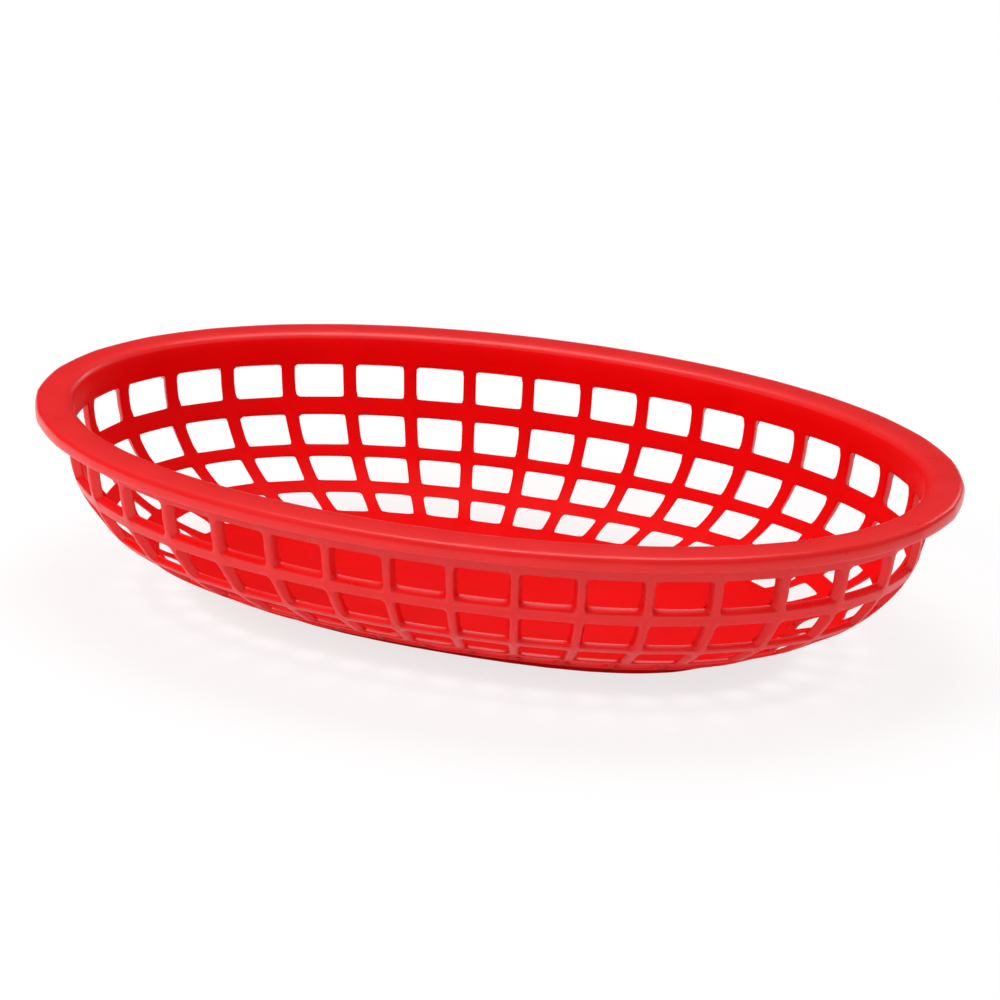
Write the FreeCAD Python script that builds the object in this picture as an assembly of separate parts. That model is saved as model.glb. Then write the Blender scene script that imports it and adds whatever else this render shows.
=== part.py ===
import FreeCAD, Part
import math
import os

# Fast food basket: one oval tray moulded in one shot, with an open lattice wall.
# Millimetres, +Z up, +X along the length. The origin is the middle of the resting plane.
# A "drop" is a depth below the outer edge of the rim.

# Overall size
length = 238.0
width = 155.4
height = 47.6

# Rim: a flange that rises to a rounded crest, with its outer edge turned down
crest_rise = 0.6
crest_radius = 3.0
flange_thickness = 2.0
lip_drop = 3.3
lip_thickness = 1.9
lip_radius = 0.9
overhang_end = 9.0
overhang_side = 9.7

# Solid band under the crest
band_thickness = 2.6
band_drop = 7.5

# Wall curve, from the band to the floor: how full it is, and how much of its run in is done at the floor
fullness = 2.49
run_at_floor = 0.63

# Horizontal rings, placed at even angles round the wall curve
ring_heights = (4.1, 2.9, 2.3)
first_ring_angle = 22.6
ring_angle_step = 19.4
ring_thickness = 3.4
ring_outward = 0.3

# Ribs, narrower outside so that the mould lets go. Bunching moves them from even steps, in degrees, towards
# the middles of the long sides, and end_bunching spreads them a little more at the ends.
rib_count = 36
rib_bunching = 6.4
end_bunching = 0.7
rib_width_inside = 3.4
rib_width_outside = 2.0
rib_thickness = 2.2

# Floor plate and the foot ring under it
floor_length = 156.0
floor_width = 83.0
floor_thickness = 2.4
foot_height = 5.6
foot_inset_end = 12.0
foot_inset_side = 9.0
foot_thickness = 2.0

# How far one member runs into the next
root = 1.6

# Flat strips that make up each quarter round of the rim
crest_strips = 2
lip_strips = 2

edge_level = height - crest_rise
floor_middle = foot_height + floor_thickness / 2
bowl_depth = edge_level - floor_middle
mouth_half_length = length / 2 - overhang_end
mouth_half_width = width / 2 - overhang_side
reach_end = (mouth_half_length - floor_length / 2) / run_at_floor
reach_side = (mouth_half_width - floor_width / 2) / run_at_floor


def wall_at_angle(angle):
    """Middle of the wall as (half length, half width, level), 0 at the mouth and 90 on the floor."""
    power = 2 / fullness
    inward = 1 - math.cos(math.radians(angle)) ** power
    drop = bowl_depth * math.sin(math.radians(angle)) ** power
    half_length = mouth_half_length - reach_end * inward
    half_width = mouth_half_width - reach_side * inward
    return half_length, half_width, edge_level - drop


def wall_at_drop(drop):
    """The same, for a depth below the outer edge of the rim."""
    angle = math.degrees(math.asin((drop / bowl_depth) ** (fullness / 2)))
    return wall_at_angle(angle)


def oval(half_length, half_width, level):
    return Part.Ellipse(FreeCAD.Vector(0, 0, level), half_length, half_width).toShape()


def flat_oval(half_length, half_width, level):
    return Part.Face(Part.Wire([oval(half_length, half_width, level)]))


def oval_strip(first, second):
    """Face between two ovals: a flat ring, an upright wall or a slope."""
    if abs(first[2] - second[2]) < 1e-6:
        larger, smaller = sorted((first, second), reverse=True)
        return flat_oval(*larger).cut(flat_oval(*smaller)).Faces[0]
    if abs(first[0] - second[0]) < 1e-6 and abs(first[1] - second[1]) < 1e-6:
        return oval(*first).extrude(FreeCAD.Vector(0, 0, second[2] - first[2]))
    return Part.makeRuledSurface(oval(*first), oval(*second))


def oval_ring(section):
    """Solid ring whose section is a closed polygon of ovals, given as half length, half width, level."""
    faces = []
    for index, first in enumerate(section):
        faces.append(oval_strip(first, section[(index + 1) % len(section)]))
    shell = Part.Shell(faces)
    shell.sewShape()
    ring = Part.Solid(shell)
    if ring.Volume < 0:
        ring.reverse()
    return ring


def offset(place, outward, level):
    """Corner of a ring's section, moved outward from a place on the wall and set at a level."""
    return place[0] + outward, place[1] + outward, level


def quarter_round(place, outward, level, radius, first_angle, strips):
    """Corners along a quarter circle about this centre, close enough together to read as round."""
    corners = []
    for step in range(strips + 1):
        angle = math.radians(first_angle + 90 * step / strips)
        corners.append(offset(place, outward + radius * math.cos(angle), level + radius * math.sin(angle)))
    return corners


def make_rim():
    """Turned-down lip, flange, crest and the solid band, as one section."""
    half_band = band_thickness / 2
    mouth = wall_at_angle(0)
    band_foot = wall_at_drop(band_drop)
    edge = (length / 2, width / 2, edge_level)
    lip_foot = edge_level - lip_drop
    under_flange = edge_level - flange_thickness
    section = [offset(edge, 0, lip_foot)]
    section += quarter_round(edge, -lip_radius, edge_level - lip_radius, lip_radius, 0, lip_strips)
    section += quarter_round(mouth, crest_radius - half_band, height - crest_radius, crest_radius, 90,
                             crest_strips)
    section += [
        offset(band_foot, -half_band, edge_level - band_drop),
        offset(band_foot, half_band, edge_level - band_drop),
        offset(mouth, half_band, under_flange),
        offset(edge, -lip_thickness, under_flange),
        offset(edge, -lip_thickness, lip_foot),
    ]
    return oval_ring(section)


def ring_places():
    places = []
    for index in range(len(ring_heights)):
        places.append(wall_at_angle(first_ring_angle + index * ring_angle_step))
    return places


def make_ring(place, ring_height):
    """Bar of rectangular section that runs round the wall."""
    inner = ring_outward - ring_thickness / 2
    outer = ring_outward + ring_thickness / 2
    top = place[2] + ring_height / 2
    bottom = place[2] - ring_height / 2
    return oval_ring([
        offset(place, outer, bottom),
        offset(place, outer, top),
        offset(place, inner, top),
        offset(place, inner, bottom),
    ])


def make_floor():
    underside = flat_oval(floor_length / 2, floor_width / 2, foot_height)
    return underside.extrude(FreeCAD.Vector(0, 0, floor_thickness))


def make_foot():
    outer = (floor_length / 2 - foot_inset_end, floor_width / 2 - foot_inset_side, 0)
    top = foot_height + floor_thickness / 2
    return oval_ring([
        offset(outer, 0, 0),
        offset(outer, 0, top),
        offset(outer, -foot_thickness, top),
        offset(outer, -foot_thickness, 0),
    ])


def rib_angles():
    """Angles on the ovals at which the ribs stand: even steps, moved towards the long sides."""
    angles = []
    for index in range(rib_count):
        even = 2 * math.pi * index / rib_count
        moved = rib_bunching * math.sin(2 * even) + end_bunching * math.sin(4 * even)
        angles.append(even + math.radians(moved))
    return angles


def rib_path():
    """Places that every rib runs through: band, rings, floor edge and inside the floor plate."""
    floor_edge = (floor_length / 2, floor_width / 2, floor_middle)
    band_root = wall_at_drop(band_drop - root)
    inside_floor = offset(floor_edge, -root, floor_middle)
    return [band_root] + ring_places() + [floor_edge, inside_floor]


def make_rib(angle, places):
    """Bar with a tapered section, straight from one ring to the next."""
    points = []
    for half_length, half_width, level in places:
        points.append(FreeCAD.Vector(half_length * math.cos(angle), half_width * math.sin(angle), level))
    run = points[-1] - points[0]
    across = FreeCAD.Vector(-run.y, run.x, 0).normalize()
    sections = []
    for index, point in enumerate(points):
        before = points[max(index - 1, 0)]
        after = points[min(index + 1, len(points) - 1)]
        along = (after - before).normalize()
        inward = across.cross(along).normalize()
        inside = point + inward * (rib_thickness / 2)
        outside = point - inward * (rib_thickness / 2)
        sections.append(Part.makePolygon([
            inside + across * (rib_width_inside / 2),
            inside - across * (rib_width_inside / 2),
            outside - across * (rib_width_outside / 2),
            outside + across * (rib_width_outside / 2),
            inside + across * (rib_width_inside / 2),
        ]))
    return Part.makeLoft(sections, True, True)


def make_basket():
    members = [make_ring(place, size) for place, size in zip(ring_places(), ring_heights)]
    members += [make_floor(), make_foot()]
    members += [make_rib(angle, rib_path()) for angle in rib_angles()]
    return make_rim().fuse(members).removeSplitter()


os.makedirs("parts", exist_ok=True)
basket = make_basket()
basket.exportStep("parts/basket.step")
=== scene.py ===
import math

import bmesh
import bpy
from mathutils import Matrix, Vector


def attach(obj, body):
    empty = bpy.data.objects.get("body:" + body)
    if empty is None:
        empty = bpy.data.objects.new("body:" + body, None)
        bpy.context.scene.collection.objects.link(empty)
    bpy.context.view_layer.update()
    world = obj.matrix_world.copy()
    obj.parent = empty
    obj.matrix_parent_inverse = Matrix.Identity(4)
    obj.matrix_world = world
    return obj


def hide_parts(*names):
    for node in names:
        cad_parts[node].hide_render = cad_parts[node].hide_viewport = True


# Fast food basket: an oval tray moulded in one shot from red plastic, with an open lattice wall.
# Metres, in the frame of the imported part. Sizes are written in millimetres and turned by MM.
# A "drop" is a depth below EDGE_LEVEL, which lies just under the flange's outer edge. "Lean" is how much
# of its run inward the wall has done: 0 at the mouth, 1 where it would lie flat under the food.
# "Outward" is a distance out from the wall's curve.
# The cavity is the half of the mould that shapes the outside, and the core shapes the inside.

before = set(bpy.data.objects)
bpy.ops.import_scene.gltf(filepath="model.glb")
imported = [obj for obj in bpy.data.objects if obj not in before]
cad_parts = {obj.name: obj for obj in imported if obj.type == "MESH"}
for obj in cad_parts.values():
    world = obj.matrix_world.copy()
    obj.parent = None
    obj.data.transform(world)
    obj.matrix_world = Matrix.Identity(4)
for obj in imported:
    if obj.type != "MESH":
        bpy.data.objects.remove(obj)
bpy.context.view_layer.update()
scene = bpy.context.scene
scene.view_settings.view_transform = "Standard"

MM = 0.001

# Overall
LENGTH = 239.0
WIDTH = 156.4
HEIGHT = 47.9

# Rim: a rounded crest, a flange, and a lip turned down at its outer edge
CREST_RISE = 0.9
CREST_RADIUS = 2.8
CREST_INSIDE = 0.7
CREST_ANGLES = (180, 150, 120, 90)
OVERHANG_END = 9.2
OVERHANG_SIDE = 10.2
FLANGE_THICKNESS = 2.1
FLANGE_MIDDLE_SHARE = 0.55
EDGE_RISE = 0.6
EDGE_RADIUS = 1.5
EDGE_ANGLES = (80, 45, 10)
LIP_DROP = 3.3
LIP_THICKNESS = 1.9
LIP_ROUND = 0.4
LIP_ROUND_HEIGHT = 0.5
LIP_DRAFT = 0.5

# Fillet in the hollow under the flange, as places outward from the band and down from the flange
HOLLOW_FILLET = ((2.2, 0.0), (0.6, 0.7), (0.0, 2.4))

# Wall. The curve is its inside face; the outside face stands straight out from it, as the mould opens
# upward. Between these two drops the solid band thickens to the lattice's depth.
FULLNESS = 2.49
RUN_AT_FLOOR = 0.63
WALL_DEPTH = 2.3
BAND_DEPTH = 1.4
BAND_DROP = 4.0
LATTICE_DROP = 12.0

# Openings, as drops of their top and lower edges, first on the inside of the wall, then on the outside
ROWS = (
    ((7.6, 16.0), (8.5, 17.5)),
    ((20.7, 27.3), (20.5, 28.5)),
    ((30.1, 34.5), (30.0, 35.2)),
    ((36.6, 39.0), (36.5, 40.6)),
)

# Ribs. Bunching moves them from even steps towards the middles of the long sides, in degrees, and end
# bunching spreads them a little more at the ends.
RIB_COUNT = 36
RIB_BUNCHING = 6.35
END_BUNCHING = 0.68
RIB_WIDTH_INSIDE = 3.6
RIB_WIDTH_OUTSIDE = 1.8

# Floor. Spreads are the shares of the way out from its middle at which its faces have edges.
FLOOR_LENGTH = 156.0
FLOOR_WIDTH = 83.0
FLOOR_THICKNESS = 2.4
FLOOR_TOP_SPREADS = (0.0, 0.3, 0.62, 0.86, 0.965)
FLOOR_UNDER_SPREADS = (0.6, 0.3, 0.0)
FLOOR_EDGE_STAND_OFF = 1.8
FLOOR_EDGE_FILLET = 0.4

# Foot ring
FOOT_HEIGHT = 5.6
FOOT_LEAN = 0.885
FOOT_THICKNESS = 2.0
FOOT_ROUND = 0.5
FOOT_FILLET = 0.9
FOOT_DRAFT = 0.2

# How much fuller than a plain ellipse the ovals are between their ends and sides: at the mouth, and
# how much more for a full lean
CORNER_FULLNESS = 0.009
LOWER_FULLNESS = 0.06

# Rounding of the moulded edges
SECTION_ROUND = 0.55
CORNER_ROUND = 0.85

# Sizes across of the patterns in the plastic, and depths of the two that can be felt
PIGMENT_STREAKS = 14.0
SHEEN_PATCHES = 9.0
FLOW_WAVES = 5.0
FLOW_WAVE_DEPTH = 0.05
GRAIN = 0.7
GRAIN_DEPTH = 0.003

# Noise mostly stays between these values
NOISE_LOW = 0.3
NOISE_HIGH = 0.7

# Light bends into the plastic by this much, and its roughness varies by this much
PLASTIC_IOR = 1.5
ROUGHNESS_SPAN = 0.1

# Paper: the share of its look that is plain white to the camera, its half width in metres, and how far
# under the foot it lies
PAPER_WHITENESS = 0.75
PAPER_REACH = 6.0
PAPER_GAP = 0.05

# Strength of the even light from all round, and of what reflections see of the room: at the horizon and
# overhead, with the heights, as parts of 1, at which one turns into the other
ROOM_LIGHT = 0.66
ROOM_SEEN_LOW = 0.08
ROOM_SEEN_HIGH = 0.3
ROOM_TURN = (0.3, 0.6)

# Softboxes: name, place and width in metres, power in watts, and whether reflections show it
LAMPS = (
    ("overhead_softbox", (-0.15, 0.25, 1.3), 0.9, 6.0, True),
    ("left_softbox", (-0.9, -1.0, 0.9), 0.8, 8.5, False),
    ("back_window", (0.4, 1.4, 0.64), 0.35, 1.8, True),
)

# Camera: a long lens, angles in degrees, distance in metres. It looks at a point a little right of the
# middle and this far below EDGE_LEVEL.
CAMERA_TURN = 20.617
CAMERA_RISE = 20.03
CAMERA_ROLL = 1.727
CAMERA_DISTANCE = 1.37357
CAMERA_LENS = 198.9
CAMERA_SENSOR = 36
TARGET_RIGHT = 2.41
TARGET_DROP = 16.51

EDGE_LEVEL = HEIGHT - CREST_RISE
FLOOR_TOP = FOOT_HEIGHT + FLOOR_THICKNESS
BOWL_DEPTH = EDGE_LEVEL - FOOT_HEIGHT - FLOOR_THICKNESS / 2
MOUTH_END = LENGTH / 2 - OVERHANG_END
MOUTH_SIDE = WIDTH / 2 - OVERHANG_SIDE
REACH_END = (MOUTH_END - FLOOR_LENGTH / 2) / RUN_AT_FLOOR
REACH_SIDE = (MOUTH_SIDE - FLOOR_WIDTH / 2) / RUN_AT_FLOOR

# Columns of points across one pitch: middle of an opening, the rib's side, its middle, its other side,
# middle of the next opening. The first row is in shares of a pitch, the second in rib widths.
COLUMN_SHARES = (-0.5, 0.0, 0.0, 0.0, 0.5)
COLUMN_WIDTHS = (0.0, -0.5, 0.0, 0.5, 0.0)
OPENING_COLUMNS = (0, 3)
RIB_SIDE_COLUMNS = (1, 3)

# Points of neighbouring pitches closer than this become one, and a face belongs to the core side when
# more than this share of its corners do
MERGE_GAP = 0.002
CORE_FACE_SHARE = 0.6

WHITE = (1.0, 1.0, 1.0, 1.0)


# Node helper and colour

def add_node(tree, kind, settings=None, inputs=None):
    """Adds one node. inputs maps a socket's name or number to a value or to another node's output."""
    node = tree.nodes.new(kind)
    for name, value in (settings or {}).items():
        setattr(node, name, value)
    for socket, value in (inputs or {}).items():
        if isinstance(value, bpy.types.NodeSocket):
            tree.links.new(value, node.inputs[socket])
        else:
            node.inputs[socket].default_value = value
    return node


def colour(hex_code):
    """An sRGB hex value as linear RGBA."""
    channels = []
    for start in (1, 3, 5):
        value = int(hex_code[start:start + 2], 16) / 255
        channels.append(value / 12.92 if value <= 0.04045 else ((value + 0.055) / 1.055) ** 2.4)
    return (*channels, 1.0)


# The section of the basket

def lean_at(drop):
    """How far in the wall has run at this drop."""
    share = min(max(drop / BOWL_DEPTH, 0.0), 1.0)
    return 1 - (1 - share ** FULLNESS) ** (1 / FULLNESS)


def lattice_share(drop):
    """How far the band has turned into the lattice at this drop."""
    return min(max((drop - BAND_DROP) / (LATTICE_DROP - BAND_DROP), 0.0), 1.0)


def inside_face(drop):
    """A place on the wall's inside face, as (lean, outward, level). The band stands further in."""
    return lean_at(drop), CREST_INSIDE * (lattice_share(drop) - 1), EDGE_LEVEL - drop


def outside_face(drop):
    """The same on the outside face, where the band is thinner than the lattice."""
    depth = BAND_DEPTH + (WALL_DEPTH - BAND_DEPTH) * lattice_share(drop)
    return lean_at(drop), depth, EDGE_LEVEL - drop


def arc(outward, level, radius, angles):
    """Places along a circle about this centre, each as (outward, level)."""
    places = []
    for angle in angles:
        turn = math.radians(angle)
        places.append((outward + radius * math.cos(turn), level + radius * math.sin(turn)))
    return places


def rim_places():
    """Crest, flange, turned-down lip and the hollow under them, each as (outward, level)."""
    edge = OVERHANG_END
    edge_top = EDGE_LEVEL + EDGE_RISE
    places = arc(CREST_RADIUS - CREST_INSIDE, HEIGHT - CREST_RADIUS, CREST_RADIUS, CREST_ANGLES)
    places.append((edge * FLANGE_MIDDLE_SHARE, (HEIGHT + edge_top) / 2))
    places += arc(edge - EDGE_RADIUS, edge_top - EDGE_RADIUS, EDGE_RADIUS, EDGE_ANGLES)
    lip_foot = EDGE_LEVEL - LIP_DROP
    lip_inside = edge - LIP_THICKNESS
    under = EDGE_LEVEL - FLANGE_THICKNESS
    places += [
        (edge, lip_foot + LIP_ROUND_HEIGHT),
        (edge - LIP_ROUND, lip_foot),
        (lip_inside + LIP_ROUND, lip_foot),
        (lip_inside, lip_foot + LIP_ROUND),
        (lip_inside - LIP_DRAFT, under),
    ]
    for outward, down in HOLLOW_FILLET:
        places.append((BAND_DEPTH + outward, under - down))
    return places


def foot_places():
    """Underside from the floor's edge to the foot ring and round it, each as (lean, outward, level)."""
    under = FOOT_HEIGHT
    inner = -FOOT_THICKNESS
    return [
        (RUN_AT_FLOOR, FLOOR_EDGE_FILLET, under),
        (FOOT_LEAN, FOOT_FILLET, under),
        (FOOT_LEAN, FOOT_DRAFT, under - FOOT_FILLET),
        (FOOT_LEAN, 0.0, FOOT_ROUND),
        (FOOT_LEAN, -FOOT_ROUND, 0.0),
        (FOOT_LEAN, inner + FOOT_ROUND, 0.0),
        (FOOT_LEAN, inner, FOOT_ROUND),
        (FOOT_LEAN, inner - FOOT_DRAFT, under - FOOT_FILLET),
        (FOOT_LEAN, inner - FOOT_FILLET, under),
    ]


# One pitch of the basket: half an opening, a rib and half an opening

def pitch_stations():
    """Every place round the section, from the middle of the floor's top to the middle of its underside.

    Each is (lean, outward, level, spread, face). Spread shrinks a place towards the middle of the floor.
    Face says whether the core or the cavity shapes the place, and so how wide a rib is there. The second
    result gives the stations where each row of openings starts and ends, inside and outside.
    """
    stations = []
    rows = [{} for _ in ROWS]
    last_row = len(ROWS) - 1
    floor_edge = (RUN_AT_FLOOR, 0.0, FLOOR_TOP)
    for spread in FLOOR_TOP_SPREADS:
        stations.append((*floor_edge, spread, "inside"))
    for number in reversed(range(len(ROWS))):
        top, foot = ROWS[number][0]
        foot_place = floor_edge if number == last_row else inside_face(foot)
        rows[number]["inside foot"] = len(stations)
        stations.append((*foot_place, 1.0, "inside"))
        stations.append((*inside_face((top + foot) / 2), 1.0, "inside"))
        rows[number]["inside top"] = len(stations)
        stations.append((*inside_face(top), 1.0, "inside"))
    for outward, level in rim_places():
        stations.append((0.0, outward, level, 1.0, "inside" if outward < 0 else "outside"))
    for number in range(len(ROWS)):
        top, foot = ROWS[number][1]
        foot_place = outside_face(foot)
        if number == last_row:
            foot_place = (RUN_AT_FLOOR, FLOOR_EDGE_STAND_OFF, EDGE_LEVEL - foot)
        rows[number]["outside top"] = len(stations)
        stations.append((*outside_face(top), 1.0, "outside"))
        stations.append((*outside_face((top + foot) / 2), 1.0, "outside"))
        rows[number]["outside foot"] = len(stations)
        stations.append((*foot_place, 1.0, "outside"))
    for place in foot_places():
        stations.append((*place, 1.0, "outside"))
    for spread in FLOOR_UNDER_SPREADS:
        stations.append((FOOT_LEAN, 0.0, FOOT_HEIGHT, spread, "outside"))
    return stations, rows


def pitch_points(stations):
    """Points of one pitch laid out flat, with X as the share of a pitch, and what each point carries."""
    rib_widths = {"inside": RIB_WIDTH_INSIDE, "outside": RIB_WIDTH_OUTSIDE}
    points = []
    carried = {"sideways": [], "lean": [], "outward": [], "level": [], "spread": [], "core_side": []}
    for lean, outward, level, spread, face in stations:
        for share, side in zip(COLUMN_SHARES, COLUMN_WIDTHS):
            points.append((share, side, level * MM))
            carried["sideways"].append(side * rib_widths[face] * MM)
            carried["lean"].append(lean)
            carried["outward"].append(outward * MM)
            carried["level"].append(level * MM)
            carried["spread"].append(spread)
            carried["core_side"].append(1.0 if face == "inside" else 0.0)
    return points, carried


def point_at(station, column):
    """Number of the point at this station and column."""
    return station * len(COLUMN_SHARES) + column


def strip_face(first, second, column):
    """Face between two stations, from this column to the next."""
    return (point_at(first, column), point_at(first, column + 1),
            point_at(second, column + 1), point_at(second, column))


def pitch_faces(station_count, rows):
    """Faces of one pitch, and the rounding of its sharp edges by their pair of points."""
    open_steps = set()
    for row in rows:
        open_steps.update(range(row["inside foot"], row["inside top"]))
        open_steps.update(range(row["outside top"], row["outside foot"]))
    faces = []
    for station in range(station_count - 1):
        for column in range(len(COLUMN_SHARES) - 1):
            if station in open_steps and column in OPENING_COLUMNS:
                continue
            faces.append(strip_face(station, station + 1, column))
    rounded = {}
    for row in rows:
        for edge in ("foot", "top"):
            inner = row["inside " + edge]
            outer = row["outside " + edge]
            for column in OPENING_COLUMNS:
                faces.append(strip_face(inner, outer, column))
                for station in (inner, outer):
                    ends = (point_at(station, column), point_at(station, column + 1))
                    rounded[frozenset(ends)] = SECTION_ROUND
            for column in RIB_SIDE_COLUMNS:
                rounded[frozenset((point_at(inner, column), point_at(outer, column)))] = CORNER_ROUND
        for column in RIB_SIDE_COLUMNS:
            for step in range(row["inside top"] - row["inside foot"]):
                inner = row["inside foot"] + step
                outer = row["outside foot"] - step
                inside_edge = (point_at(inner, column), point_at(inner + 1, column))
                outside_edge = (point_at(outer - 1, column), point_at(outer, column))
                faces.append(inside_edge + outside_edge)
                rounded[frozenset(inside_edge)] = SECTION_ROUND
                rounded[frozenset(outside_edge)] = SECTION_ROUND
    return faces, rounded


def make_pitch():
    """The mesh of one pitch. What its points carry becomes attributes, for the rule that bends it."""
    stations, rows = pitch_stations()
    points, carried = pitch_points(stations)
    faces, rounded = pitch_faces(len(stations), rows)
    mesh = bpy.data.meshes.new("basket_pitch")
    mesh.from_pydata(points, [], faces)
    for name, numbers in carried.items():
        mesh.attributes.new(name, "FLOAT", "POINT").data.foreach_set("value", numbers)
    weights = [rounded.get(frozenset(edge.vertices), 0.0) / CORNER_ROUND for edge in mesh.edges]
    mesh.attributes.new("bevel_weight_edge", "FLOAT", "EDGE").data.foreach_set("value", weights)
    return mesh


# The rule that bends the pitches round the oval

def make_oval_rule():
    """Tree that repeats one pitch and sets each point on its oval."""
    tree = bpy.data.node_groups.new("lattice_round_an_oval", "GeometryNodeTree")
    tree.interface.new_socket(name="Pitch", in_out="INPUT", socket_type="NodeSocketGeometry")
    for name, kind in (("Rib count", "Int"), ("Bunching", "Float"), ("End bunching", "Float"),
                       ("Corner fullness", "Float"), ("Lower fullness", "Float"),
                       ("Mouth half size", "Vector"), ("Reach", "Vector"), ("Outward share", "Vector"),
                       ("Cavity finish", "Material"), ("Core finish", "Material")):
        tree.interface.new_socket(name=name, in_out="INPUT", socket_type="NodeSocket" + kind)
    tree.interface.new_socket(name="Basket", in_out="OUTPUT", socket_type="NodeSocketGeometry")
    given = tree.nodes.new("NodeGroupInput").outputs
    math_node = "ShaderNodeMath"
    vector_node = "ShaderNodeVectorMath"

    line = add_node(tree, "GeometryNodeMeshLine", {"mode": "OFFSET"},
                    {"Count": given["Rib count"], "Offset": (1.0, 0.0, 0.0)})
    pitches = add_node(tree, "GeometryNodeInstanceOnPoints", None,
                       {"Points": line.outputs[0], "Instance": given["Pitch"]})
    row = add_node(tree, "GeometryNodeRealizeInstances", None, {0: pitches.outputs[0]})
    carried = {}
    for name in ("sideways", "lean", "outward", "level", "spread", "core_side"):
        carried[name] = add_node(tree, "GeometryNodeInputNamedAttribute", {"data_type": "FLOAT"},
                                 {"Name": name}).outputs[0]

    # Angle on the oval, from the place along the row of pitches
    along = add_node(tree, "ShaderNodeSeparateXYZ", None,
                     {0: tree.nodes.new("GeometryNodeInputPosition").outputs[0]}).outputs[0]
    turn = add_node(tree, math_node, {"operation": "DIVIDE"}, {0: math.tau, 1: given["Rib count"]})
    even = add_node(tree, math_node, {"operation": "MULTIPLY"}, {0: along, 1: turn.outputs[0]}).outputs[0]
    doubled = add_node(tree, math_node, {"operation": "MULTIPLY"}, {0: even, 1: 2.0})
    wave = add_node(tree, math_node, {"operation": "SINE"}, {0: doubled.outputs[0]})
    redoubled = add_node(tree, math_node, {"operation": "MULTIPLY"}, {0: even, 1: 4.0})
    end_wave = add_node(tree, math_node, {"operation": "SINE"}, {0: redoubled.outputs[0]})
    bunched = add_node(tree, math_node, {"operation": "MULTIPLY_ADD"},
                       {0: wave.outputs[0], 1: given["Bunching"], 2: even})
    angle = add_node(tree, math_node, {"operation": "MULTIPLY_ADD"},
                     {0: end_wave.outputs[0], 1: given["End bunching"], 2: bunched.outputs[0]}).outputs[0]
    cosine = add_node(tree, math_node, {"operation": "COSINE"}, {0: angle}).outputs[0]
    sine = add_node(tree, math_node, {"operation": "SINE"}, {0: angle}).outputs[0]
    minus_sine = add_node(tree, math_node, {"operation": "MULTIPLY"}, {0: sine, 1: -1.0}).outputs[0]
    heading = add_node(tree, "ShaderNodeCombineXYZ", None, {0: cosine, 1: sine}).outputs[0]
    quarter_on = add_node(tree, "ShaderNodeCombineXYZ", None, {0: minus_sine, 1: cosine}).outputs[0]

    # Half length and half width of the oval that the point stands on
    run_in = add_node(tree, vector_node, {"operation": "SCALE"},
                      {0: given["Reach"], "Scale": carried["lean"]})
    narrowed = add_node(tree, vector_node, {"operation": "SUBTRACT"},
                        {0: given["Mouth half size"], 1: run_in.outputs[0]})
    stand_off = add_node(tree, vector_node, {"operation": "SCALE"},
                         {0: given["Outward share"], "Scale": carried["outward"]})
    plain_half_size = add_node(tree, vector_node, {"operation": "ADD"},
                               {0: narrowed.outputs[0], 1: stand_off.outputs[0]})

    # The ovals are a little fuller than ellipses between their ends and sides.
    twice = add_node(tree, math_node, {"operation": "MULTIPLY"}, {0: angle, 1: 2.0})
    corner_wave = add_node(tree, math_node, {"operation": "SINE"}, {0: twice.outputs[0]})
    corner = add_node(tree, math_node, {"operation": "POWER"}, {0: corner_wave.outputs[0], 1: 2.0})
    fullness = add_node(tree, math_node, {"operation": "MULTIPLY_ADD"},
                        {0: carried["lean"], 1: given["Lower fullness"], 2: given["Corner fullness"]})
    fuller = add_node(tree, math_node, {"operation": "MULTIPLY_ADD"},
                      {0: corner.outputs[0], 1: fullness.outputs[0], 2: 1.0})
    half_size = add_node(tree, vector_node, {"operation": "SCALE"},
                         {0: plain_half_size.outputs[0], "Scale": fuller.outputs[0]}).outputs[0]
    place = add_node(tree, vector_node, {"operation": "MULTIPLY"}, {0: half_size, 1: heading})
    onward = add_node(tree, vector_node, {"operation": "MULTIPLY"}, {0: half_size, 1: quarter_on})
    tangent = add_node(tree, vector_node, {"operation": "NORMALIZE"}, {0: onward.outputs[0]}).outputs[0]

    # A rib keeps its width square to its own run, so its points move further along the oval where it
    # slants.
    rib_run = add_node(tree, vector_node, {"operation": "MULTIPLY"}, {0: given["Reach"], 1: heading})
    square = add_node(tree, vector_node, {"operation": "CROSS_PRODUCT"},
                      {0: (0.0, 0.0, 1.0), 1: rib_run.outputs[0]})
    across = add_node(tree, vector_node, {"operation": "NORMALIZE"}, {0: square.outputs[0]})
    slant = add_node(tree, vector_node, {"operation": "DOT_PRODUCT"}, {0: tangent, 1: across.outputs[0]})
    shift = add_node(tree, math_node, {"operation": "DIVIDE"},
                     {0: carried["sideways"], 1: slant.outputs["Value"]})
    sideways = add_node(tree, vector_node, {"operation": "SCALE"},
                        {0: tangent, "Scale": shift.outputs[0]})
    moved = add_node(tree, vector_node, {"operation": "ADD"},
                     {0: place.outputs[0], 1: sideways.outputs[0]})
    drawn_in = add_node(tree, vector_node, {"operation": "SCALE"},
                        {0: moved.outputs[0], "Scale": carried["spread"]})
    raised = add_node(tree, "ShaderNodeCombineXYZ", None, {2: carried["level"]})
    final = add_node(tree, vector_node, {"operation": "ADD"},
                     {0: drawn_in.outputs[0], 1: raised.outputs[0]})
    bent = add_node(tree, "GeometryNodeSetPosition", None,
                    {"Geometry": row.outputs[0], "Position": final.outputs[0]})
    joined = add_node(tree, "GeometryNodeMergeByDistance", None,
                      {"Geometry": bent.outputs[0], "Distance": MERGE_GAP * MM})

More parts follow.
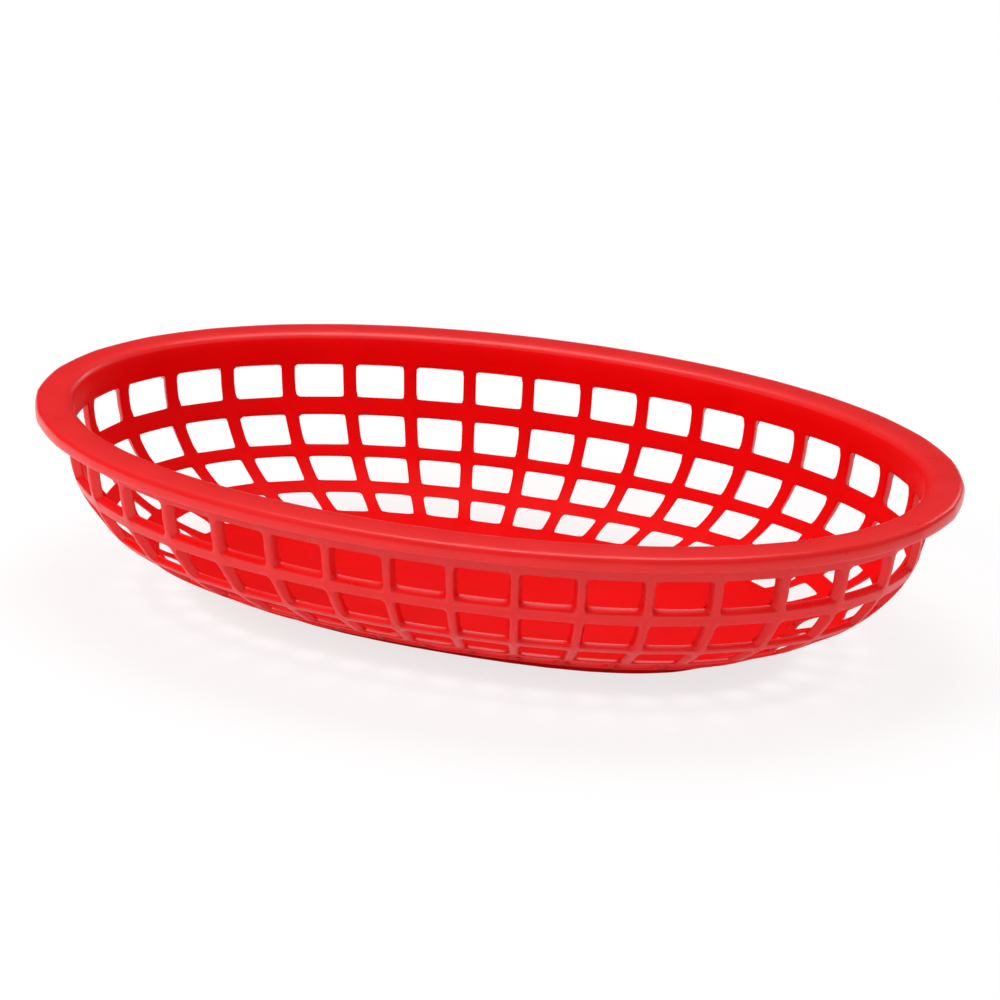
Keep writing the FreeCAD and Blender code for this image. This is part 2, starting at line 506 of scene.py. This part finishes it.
    # The faces that the core shapes have a finish of their own.
    finished = add_node(tree, "GeometryNodeSetMaterial", None,
                        {"Geometry": joined.outputs[0], "Material": given["Cavity finish"]})
    on_core = add_node(tree, "FunctionNodeCompare", {"data_type": "FLOAT", "operation": "GREATER_THAN"},
                       {"A": carried["core_side"], "B": CORE_FACE_SHARE})
    finished = add_node(tree, "GeometryNodeSetMaterial", None,
                        {"Geometry": finished.outputs[0], "Selection": on_core.outputs[0],
                         "Material": given["Core finish"]})
    add_node(tree, "NodeGroupOutput", None, {0: finished.outputs[0]})
    return tree


def plain_mesh(piece):
    """Gives the piece the mesh that its modifiers make, and removes them."""
    evaluated = piece.evaluated_get(bpy.context.evaluated_depsgraph_get())
    mesh = bpy.data.meshes.new_from_object(evaluated)
    piece.modifiers.clear()
    piece.data = mesh


def make_basket(cavity_finish, core_finish):
    """The whole moulding as one closed mesh."""
    piece = bpy.data.objects.new("basket_moulding", make_pitch())
    scene.collection.objects.link(piece)
    rule = piece.modifiers.new("lattice", "NODES")
    rule.node_group = make_oval_rule()
    sizes = {
        "Rib count": RIB_COUNT,
        "Bunching": math.radians(RIB_BUNCHING),
        "End bunching": math.radians(END_BUNCHING),
        "Corner fullness": CORNER_FULLNESS,
        "Lower fullness": LOWER_FULLNESS,
        "Mouth half size": (MOUTH_END * MM, MOUTH_SIDE * MM, 0.0),
        "Reach": (REACH_END * MM, REACH_SIDE * MM, 0.0),
        "Outward share": (1.0, OVERHANG_SIDE / OVERHANG_END, 0.0),
        "Cavity finish": cavity_finish,
        "Core finish": core_finish,
    }
    for item in rule.node_group.interface.items_tree:
        if item.in_out == "INPUT" and item.name in sizes:
            rule[item.identifier] = sizes[item.name]
    plain_mesh(piece)

    work = bmesh.new()
    work.from_mesh(piece.data)
    bmesh.ops.recalc_face_normals(work, faces=work.faces)
    work.to_mesh(piece.data)
    work.free()

    rounding = piece.modifiers.new("moulded_edges", "BEVEL")
    rounding.limit_method = "WEIGHT"
    rounding.width = CORNER_ROUND * MM
    rounding.segments = 2
    smoothing = piece.modifiers.new("smooth_section", "SUBSURF")
    smoothing.levels = 1
    smoothing.render_levels = 1
    plain_mesh(piece)
    for polygon in piece.data.polygons:
        polygon.use_smooth = True
    return piece


# Materials

def moulded_polyethylene(side, gloss, dullest):
    """Injection-moulded high-density polyethylene, coloured through: even red, a soft sheen from the
    satin cavity, faint flow waves in the broad faces and a very fine grain that breaks up highlights.
    The core, which shapes the inside, is blasted duller than the cavity, so the inside is a deeper red."""
    material = bpy.data.materials.new("moulded_polyethylene_" + side)
    material.use_nodes = True
    tree = material.node_tree
    shader = tree.nodes["Principled BSDF"]
    shader.inputs["IOR"].default_value = PLASTIC_IOR
    shader.inputs["Specular IOR Level"].default_value = gloss
    object_place = tree.nodes.new("ShaderNodeTexCoord").outputs["Object"]

    # Noise for each pattern: its size across and its detail
    noises = {}
    for name, size, detail in (("streaks", PIGMENT_STREAKS, 2.0), ("patches", SHEEN_PATCHES, 4.0),
                               ("waves", FLOW_WAVES, 1.0), ("grain", GRAIN, 2.0)):
        pattern = add_node(tree, "ShaderNodeTexNoise", None,
                           {"Vector": object_place, "Scale": 1 / (size * MM), "Detail": detail})
        noises[name] = pattern.outputs[0]

    # Pigment is streaked very faintly.
    pigment = add_node(tree, "ShaderNodeValToRGB", None, {"Fac": noises["streaks"]})
    darker, lighter = pigment.color_ramp.elements
    darker.position = NOISE_LOW
    darker.color = colour("#E20002")
    lighter.position = NOISE_HIGH
    lighter.color = colour("#E90104")
    tree.links.new(pigment.outputs[0], shader.inputs["Base Color"])

    # Sheen varies where the melt met the mould.
    sheen = add_node(tree, "ShaderNodeMapRange", None,
                     {"Value": noises["patches"], "From Min": NOISE_LOW, "From Max": NOISE_HIGH,
                      "To Min": dullest - ROUGHNESS_SPAN, "To Max": dullest})
    tree.links.new(sheen.outputs[0], shader.inputs["Roughness"])

    # The mould's grain is really finer, and is drawn as coarse as it needs to show.
    waves = add_node(tree, "ShaderNodeBump", None,
                     {"Height": noises["waves"], "Strength": 1.0, "Distance": FLOW_WAVE_DEPTH * MM})
    grain = add_node(tree, "ShaderNodeBump", None,
                     {"Height": noises["grain"], "Strength": 1.0, "Distance": GRAIN_DEPTH * MM,
                      "Normal": waves.outputs[0]})
    tree.links.new(grain.outputs[0], shader.inputs["Normal"])
    return material


def studio_paper():
    """Matt white background paper. The camera sees it nearly white, with the basket's shadow left faint."""
    material = bpy.data.materials.new("white_paper")
    material.use_nodes = True
    tree = material.node_tree
    tree.nodes.clear()
    matt = add_node(tree, "ShaderNodeBsdfDiffuse", None, {"Color": colour("#F8F8F8")})
    white = add_node(tree, "ShaderNodeEmission", None, {"Color": WHITE, "Strength": 1.0})
    seen = add_node(tree, "ShaderNodeMixShader", None,
                    {0: PAPER_WHITENESS, 1: matt.outputs[0], 2: white.outputs[0]})
    is_camera = tree.nodes.new("ShaderNodeLightPath").outputs["Is Camera Ray"]
    mix = add_node(tree, "ShaderNodeMixShader", None,
                   {0: is_camera, 1: matt.outputs[0], 2: seen.outputs[0]})
    add_node(tree, "ShaderNodeOutputMaterial", None, {0: mix.outputs[0]})
    return material


# Studio

def make_floor_paper():
    """Sheet of paper just under the foot."""
    reach = PAPER_REACH
    corners = [(-reach, -reach, 0), (reach, -reach, 0), (reach, reach, 0), (-reach, reach, 0)]
    mesh = bpy.data.meshes.new("paper")
    mesh.from_pydata(corners, [], [(0, 1, 2, 3)])
    mesh.materials.append(studio_paper())
    paper = bpy.data.objects.new("paper", mesh)
    paper.location.z = -PAPER_GAP * MM
    scene.collection.objects.link(paper)


def make_lamp(name, place, size, power, reflected):
    """Round softbox aimed at the basket. Where it isn't reflected, it lights without a highlight."""
    data = bpy.data.lights.new(name, "AREA")
    data.shape = "DISK"
    data.size = size
    data.energy = power
    lamp = bpy.data.objects.new(name, data)
    lamp.location = place
    lamp.rotation_euler = (-Vector(place)).to_track_quat("-Z", "Y").to_euler()
    lamp.visible_glossy = reflected
    scene.collection.objects.link(lamp)


def make_world():
    """Even soft light, plain white to the camera. Reflections see a dim room, lighter overhead."""
    world = bpy.data.worlds.new("studio")
    scene.world = world
    world.use_nodes = True
    tree = world.node_tree
    tree.nodes.clear()
    upward = add_node(tree, "ShaderNodeSeparateXYZ", None,
                      {0: tree.nodes.new("ShaderNodeTexCoord").outputs["Generated"]}).outputs[2]
    dimming = add_node(tree, "ShaderNodeMapRange", {"interpolation_type": "SMOOTHSTEP"},
                       {"Value": upward, "From Min": ROOM_TURN[0], "From Max": ROOM_TURN[1],
                        "To Min": ROOM_SEEN_LOW, "To Max": ROOM_SEEN_HIGH})
    even = add_node(tree, "ShaderNodeBackground", None, {"Color": WHITE, "Strength": ROOM_LIGHT})
    room = add_node(tree, "ShaderNodeBackground", None, {"Color": WHITE, "Strength": dimming.outputs[0]})
    backdrop = add_node(tree, "ShaderNodeBackground", None, {"Color": WHITE, "Strength": 1.0})
    ray = tree.nodes.new("ShaderNodeLightPath").outputs
    reflected = add_node(tree, "ShaderNodeMixShader", None,
                         {0: ray["Is Glossy Ray"], 1: even.outputs[0], 2: room.outputs[0]})
    seen = add_node(tree, "ShaderNodeMixShader", None,
                    {0: ray["Is Camera Ray"], 1: reflected.outputs[0], 2: backdrop.outputs[0]})
    add_node(tree, "ShaderNodeOutputWorld", None, {0: seen.outputs[0]})


def make_camera():
    """Stands above the table and turned from the basket's front, as in the photograph."""
    turn = math.radians(CAMERA_TURN)
    rise = math.radians(CAMERA_RISE)
    roll = math.radians(CAMERA_ROLL)
    target = Vector((TARGET_RIGHT, 0.0, EDGE_LEVEL - TARGET_DROP)) * MM
    back = Vector((math.sin(turn) * math.cos(rise), -math.cos(turn) * math.cos(rise), math.sin(rise)))
    right = (-back).cross(Vector((0, 0, 1))).normalized()
    up = right.cross(-back)
    tilted_right = math.cos(roll) * right + math.sin(roll) * up
    tilted_up = math.cos(roll) * up - math.sin(roll) * right
    data = bpy.data.cameras.new("camera")
    data.sensor_width = CAMERA_SENSOR
    data.lens = CAMERA_LENS
    camera = bpy.data.objects.new("camera", data)
    stand = Matrix((tilted_right, tilted_up, back)).transposed().to_4x4()
    stand.translation = target + back * CAMERA_DISTANCE
    camera.matrix_world = stand
    scene.collection.objects.link(camera)
    scene.camera = camera


cavity_finish = moulded_polyethylene("cavity_side", gloss=0.5, dullest=0.37)
core_finish = moulded_polyethylene("core_side", gloss=0.06, dullest=0.52)
basket = make_basket(cavity_finish, core_finish)
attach(basket, "root")
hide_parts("basket")

make_floor_paper()
make_world()
for lamp_values in LAMPS:
    make_lamp(*lamp_values)
make_camera()
